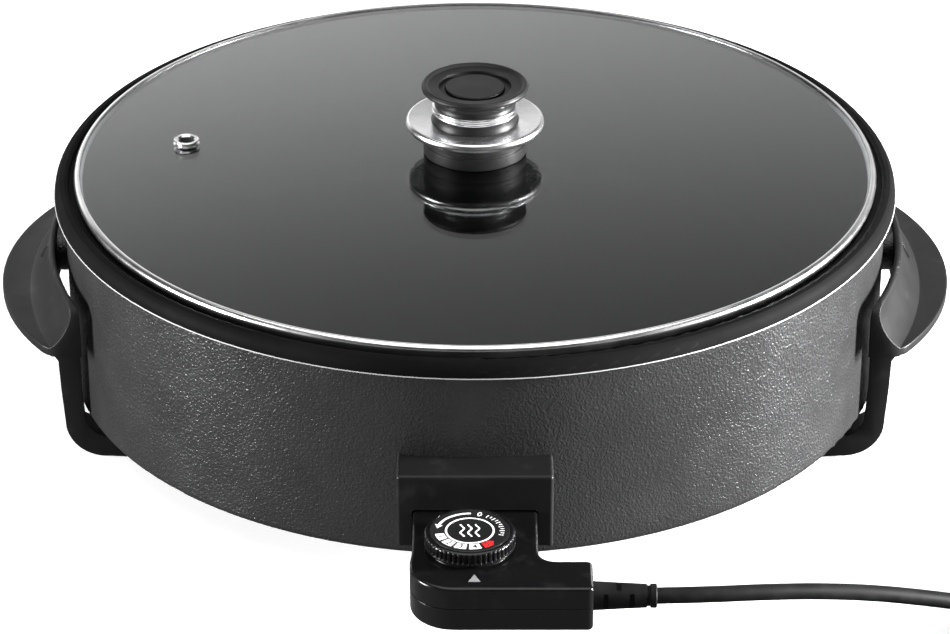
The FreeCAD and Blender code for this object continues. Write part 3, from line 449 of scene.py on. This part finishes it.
HANDLE_ROUNDING = 0.0005        # in metres
SAME_POINT = 0.00001            # points closer than this are joined
SAME_FACE = 0.6                 # faces that meet at less than this, in degrees, become one
BEVEL_FROM = 35                 # edges sharper than this, in degrees, are rounded
SHARP_FROM = 30                 # edges sharper than this, in degrees, are shaded sharp


def softened_handle(node, material):
    """Copy of a moulded handle with its sharp edges rounded."""
    source = NODES[node]
    bm = bmesh.new()
    bm.from_mesh(source.data)
    bmesh.ops.transform(bm, matrix=source.matrix_world, verts=bm.verts)
    bmesh.ops.remove_doubles(bm, verts=bm.verts, dist=SAME_POINT)
    flat = math.radians(SAME_FACE)
    bmesh.ops.dissolve_limit(bm, angle_limit=flat, verts=bm.verts, edges=bm.edges)
    mesh = bpy.data.meshes.new(node + "_rounded")
    bm.to_mesh(mesh)
    bm.free()
    holder = bpy.data.objects.new("holder", mesh)
    bpy.context.scene.collection.objects.link(holder)
    bevel = holder.modifiers.new("bevel", "BEVEL")
    bevel.width = HANDLE_ROUNDING
    bevel.segments = 3
    bevel.limit_method = "ANGLE"
    bevel.angle_limit = math.radians(BEVEL_FROM)
    rounded = evaluated_mesh(holder)
    bpy.data.objects.remove(holder)
    for face in rounded.polygons:
        face.use_smooth = True
    rounded.set_sharp_from_angle(angle=math.radians(SHARP_FROM))
    add_piece(node + "_rounded", rounded, "pan", material, (node,))


# ---- mains lead ----
# Points about the pan's axis, in millimetres: from the strain relief to the coil, and to the plug.
LEAD_ROUTE = [
    (80.5, -276.0, 44.2), (104.0, -274.6, 43.9), (129.0, -268.2, 41.2), (154.0, -259.8, 36.4),
    (179.0, -250.8, 29.8), (203.0, -242.2, 21.8), (226.0, -234.0, 13.4), (247.0, -225.6, 6.6),
    (266.0, -218.4, 4.6),
]
TAIL_ROUTE = [(255.5, -226.5, 13.4), (266.5, -215.4, 15.7), (278.4, -205.4, 18.7)]
CORD_R = 3.75                   # in millimetres
COIL_POINTS = 16                # in each turn
COIL_START = 96.0               # degrees about the coil's middle, where it is wound on
COIL_END = 157.0 - 4 * 360


def coil_route():
    """Four clockwise turns: wide, then narrow on the table, then narrow and wide on top."""
    low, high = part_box("cord_coil")
    centre = (low + high) / 2
    outer = (high.x - low.x) / 2 - CORD_R * MM
    inner = outer - 2 * CORD_R * MM
    lower = low.z + CORD_R * MM
    upper = lower + 2 * CORD_R * MM
    # Turns so far, radius and height; between stations both change evenly.
    stations = [(0.0, outer, lower), (0.85, outer, lower), (1.1, inner, lower), (1.9, inner, lower),
                (2.15, inner, upper), (2.9, inner, upper), (3.15, outer, upper),
                (4.0, outer, upper)]
    rounding = (3 + math.cos(2 * math.pi / COIL_POINTS)) / 4     # the curve runs inside its points
    points = []
    count = round((COIL_START - COIL_END) / 360 * COIL_POINTS)
    for n in range(count + 1):
        turn = n / COIL_POINTS
        place = next(i for i in range(len(stations) - 1) if turn <= stations[i + 1][0])
        (t0, r0, z0), (t1, r1, z1) = stations[place], stations[place + 1]
        share = (turn - t0) / (t1 - t0)
        radius = (r0 + (r1 - r0) * share) / rounding
        angle = math.radians(COIL_START - 360 * turn)
        x, y = centre.x + radius * math.cos(angle), centre.y + radius * math.sin(angle)
        points.append(Vector((x, y, z0 + (z1 - z0) * share)))
    return points


def mains_lead(materials):
    points = [in_frame(*p) for p in LEAD_ROUTE] + coil_route() + [in_frame(*p) for p in TAIL_ROUTE]
    curve = bpy.data.curves.new("mains_lead", "CURVE")
    curve.dimensions = "3D"
    curve.bevel_depth = CORD_R * MM
    curve.bevel_resolution = 6
    curve.resolution_u = 6
    curve.use_fill_caps = True
    spline = curve.splines.new("NURBS")
    spline.points.add(len(points) - 1)
    for point, place in zip(spline.points, points):
        point.co = (*place, 1)
    spline.order_u = 3
    spline.use_endpoint_u = True
    lead = add_piece("mains_lead", curve, "controller", materials["rubber_black"],
                     ("cord", "cord_coil", "cord_tail"))


# ---- dial print ----
INK_LOW = 0.00002               # heights over the dial's face, in metres
INK_TOP = 0.00006
# Radii in millimetres and angles in degrees about the dial.
RING = (10.2, 11.1)
SCALE = (11.8, 15.9)
SCALE_MIDDLES = (201.6, 227.6, 253.3, 279.3)
SCALE_HALF = 10.5
LAST_BAND = (295.6, 311)        # start and end of the red band
LAST_TIP = 9                    # its point reaches this much further
LAST_MIDDLE = 303.5
ARROW = (14.1, 15.3)
ARROW_SPAN = (88, 160)
ARROW_HEAD = (13.0, 16.4)
ARROW_TIP = 11
DIGIT_RADIUS = 13.9
DIGIT_SIZE = 4.4
DIGIT_SWELL = 0.00006           # makes the strokes bolder, in metres
DIGIT_HALF = 0.00002            # half the ink's thickness, in metres
TICKS = 11
TICK_INNER = (13.2, 13.9)       # long and short ticks in turn
TICK_OUTER = 15.5
TICK_START = 57
TICK_STEP = 7.2
TICK_HALF = 0.9
WAVE_GAP = 3.4
WAVE_LONG = 5.2                 # half its length
WAVE_WIDE = 0.45                # half its stroke
WAVE_SWAY = 0.8
WAVE_STEPS = 16
ZERO_ANGLE = 72.6
ZERO_RADIUS = 14.7
ZERO_OUTER = (1.0, 1.75)        # half width and half height
ZERO_INNER = (0.5, 1.2)
ZERO_POINTS = 32


def sector(bm, inner, outer, start, end, point=0.0):
    """Flat ring sector in millimetres and degrees about the dial, with a pointed end if asked."""
    steps = max(2, int(abs(end - start) / 3))
    angles = [math.radians(start + (end - start) * n / steps) for n in range(steps + 1)]
    ring = [(outer * math.cos(a), outer * math.sin(a)) for a in angles]
    if point:
        tip = math.radians(end + point)
        middle = (inner + outer) / 2
        ring.append((middle * math.cos(tip), middle * math.sin(tip)))
    ring += [(inner * math.cos(a), inner * math.sin(a)) for a in reversed(angles)]
    slab(bm, ring)


def slab(bm, outline):
    """Thin raised slab of ink with a flat outline in millimetres about the dial."""
    low = [bm.verts.new(DIAL + Vector((x * MM, y * MM, INK_LOW))) for x, y in outline]
    top = [bm.verts.new(DIAL + Vector((x * MM, y * MM, INK_TOP))) for x, y in outline]
    bm.faces.new(top)
    bm.faces.new(list(reversed(low)))
    for n in range(len(outline)):
        after = (n + 1) % len(outline)
        bm.faces.new((low[n], low[after], top[after], top[n]))


def ink_piece(name, bm, material):
    bmesh.ops.recalc_face_normals(bm, faces=bm.faces)
    mesh = bpy.data.meshes.new(name)
    bm.to_mesh(mesh)
    bm.free()
    add_piece(name, mesh, "dial", material)


def dial_white_print(materials):
    bm = bmesh.new()
    sector(bm, *RING, 0, 180)
    sector(bm, *RING, 180, 360)
    sector(bm, *ARROW, *ARROW_SPAN)
    sector(bm, *ARROW_HEAD, ARROW_SPAN[1], ARROW_SPAN[1] + 1, point=ARROW_TIP)
    for middle in SCALE_MIDDLES:
        sector(bm, *SCALE, middle - SCALE_HALF, middle + SCALE_HALF)
    for n in range(TICKS):
        angle = TICK_START - n * TICK_STEP
        sector(bm, TICK_INNER[n % 2], TICK_OUTER, angle - TICK_HALF, angle + TICK_HALF)
    for n in (-1, 0, 1):
        slab(bm, heat_wave(WAVE_GAP * n))
    ink_piece("dial_print_white", bm, materials["ink_white"])


def heat_wave(x):
    """One wavy stroke of a plain heat sign, along Y."""
    steps = [WAVE_LONG * (2 * n / WAVE_STEPS - 1) for n in range(WAVE_STEPS + 1)]
    middle = [(x + WAVE_SWAY * math.sin(y * math.pi / WAVE_LONG * 1.5), y) for y in steps]
    left = [(a - WAVE_WIDE, y) for a, y in middle]
    return left + [(a + WAVE_WIDE, y) for a, y in reversed(middle)]


def dial_digit(text, angle, material):
    """A raised digit whose top points at the dial's middle."""
    curve = bpy.data.curves.new("digit", "FONT")
    curve.body = text
    curve.size = DIGIT_SIZE * MM
    curve.align_x = "CENTER"
    curve.align_y = "CENTER"
    curve.offset = DIGIT_SWELL
    curve.extrude = DIGIT_HALF
    holder = bpy.data.objects.new("digit", curve)
    bpy.context.scene.collection.objects.link(holder)
    mesh = evaluated_mesh(holder)
    bpy.data.objects.remove(holder)
    turn = math.radians(angle + 90)
    out = math.radians(angle)
    radius = DIGIT_RADIUS * MM
    for vertex in mesh.vertices:
        x, y, z = vertex.co
        across = radius * math.cos(out) + x * math.cos(turn) - y * math.sin(turn)
        along = radius * math.sin(out) + x * math.sin(turn) + y * math.cos(turn)
        vertex.co = DIAL + Vector((across, along, INK_TOP + DIGIT_HALF + z))
    add_piece("dial_digit_" + text, mesh, "dial", material)


def dial_zero(material):
    """The slim zero above the scale, as an oval ring."""
    bm = bmesh.new()
    turn = math.radians(ZERO_ANGLE + 90)
    out = math.radians(ZERO_ANGLE)
    middle = Vector((ZERO_RADIUS * math.cos(out), ZERO_RADIUS * math.sin(out), 0))

    def oval(half_width, half_height, z):
        ring = []
        for n in range(ZERO_POINTS):
            a = 2 * math.pi * n / ZERO_POINTS
            x, y = half_width * math.cos(a), half_height * math.sin(a)
            across = x * math.cos(turn) - y * math.sin(turn)
            along = x * math.sin(turn) + y * math.cos(turn)
            place = DIAL + (middle + Vector((across, along, 0))) * MM
            ring.append(bm.verts.new(place + Vector((0, 0, z))))
        return ring

    loops = [oval(*ZERO_OUTER, INK_LOW), oval(*ZERO_OUTER, INK_TOP),
             oval(*ZERO_INNER, INK_TOP), oval(*ZERO_INNER, INK_LOW)]
    for n in range(ZERO_POINTS):
        after = (n + 1) % ZERO_POINTS
        for k in range(4):
            here, there = loops[k], loops[(k + 1) % 4]
            bm.faces.new((here[n], here[after], there[after], there[n]))
    ink_piece("dial_zero", bm, material)


def dial_print(materials):
    dial_white_print(materials)
    bm = bmesh.new()
    sector(bm, *SCALE, *LAST_BAND, point=LAST_TIP)
    ink_piece("dial_print_red", bm, materials["ink_red"])
    dial_zero(materials["ink_white"])
    for text, angle in zip("12345", (*SCALE_MIDDLES, LAST_MIDDLE)):
        dial_digit(text, angle, materials["ink_black"])


# ---- stage ----
FLOOR_HALF = 8.0
WORLD_LEAST = 0.035             # light that comes from every side


def make_floor():
    mesh = bpy.data.meshes.new("floor")
    half = FLOOR_HALF
    corners = [(-half, -half, 0), (half, -half, 0), (half, half, 0), (-half, half, 0)]
    mesh.from_pydata(corners, [], [(0, 1, 2, 3)])
    floor = bpy.data.objects.new("floor", mesh)
    bpy.context.scene.collection.objects.link(floor)
    s = Shader("floor", (0.9, 0.9, 0.9), 0.9)
    s.set("Specular IOR Level", 0.0)
    seen = s.add("ShaderNodeLightPath").outputs["Is Camera Ray"]
    s.set("Base Color", s.mix(seen, (0.12, 0.12, 0.12), (0.80, 0.80, 0.80)))
    s.set("Emission Color", s.mix(seen, (0, 0, 0), (0.45, 0.45, 0.45)))
    s.set("Emission Strength", 1.0)
    mesh.materials.append(s.material)


def area_light(name, place, target, size, power):
    data = bpy.data.lights.new(name, "AREA")
    data.shape = "RECTANGLE"
    data.size, data.size_y = size
    data.energy = power
    light = bpy.data.objects.new(name, data)
    bpy.context.scene.collection.objects.link(light)
    light.location = place
    light.rotation_euler = (Vector(target) - Vector(place)).to_track_quat("-Z", "Y").to_euler()


def make_lights():
    area_light("top_light", (0, -0.45, 2.7), (0, -0.2, 0), (2.8, 3.8), 85)
    area_light("right_light", (1.95, -0.16, 0.32), (0, 0, 0.06), (0.45, 0.6), 365)
    area_light("left_light", (-1.86, -0.50, 0.32), (0, 0, 0.06), (0.7, 0.6), 108)


def make_world():
    """Soft surroundings: bright low down behind the object, dim in front."""
    world = bpy.data.worlds.new("world")
    bpy.context.scene.world = world
    nodes = Nodes(world)
    background = nodes.tree.nodes["Background"]
    background.inputs["Color"].default_value = (1, 1, 1, 1)
    x, y, z = nodes.split(nodes.add("ShaderNodeTexCoord").outputs["Generated"])
    behind = nodes.between(y, 0.55, 0.82)
    low_down = nodes.between(z, 0.28, 0.60, 1.12, 0.28)
    sideways = nodes.between(x, -0.30, 0.30, 1.35, 0.65)
    glow = nodes.math("MULTIPLY", nodes.math("MULTIPLY", behind, low_down), sideways)
    strength = nodes.math("ADD", glow, WORLD_LEAST)
    seen = nodes.add("ShaderNodeLightPath").outputs["Is Camera Ray"]
    nodes.plug(background.inputs["Strength"], nodes.math("MAXIMUM", strength, seen))


make_camera()
MATERIALS = make_materials()
mains_lead(MATERIALS)
coat_cad_nodes(MATERIALS)
lid_rim(MATERIALS)
lid_glass(MATERIALS)
for handle in ("handle_left", "handle_right"):
    softened_handle(handle, MATERIALS["phenolic_black"])
dial_print(MATERIALS)
make_floor()
make_lights()
make_world()
bpy.context.scene.view_settings.view_transform = "Standard"
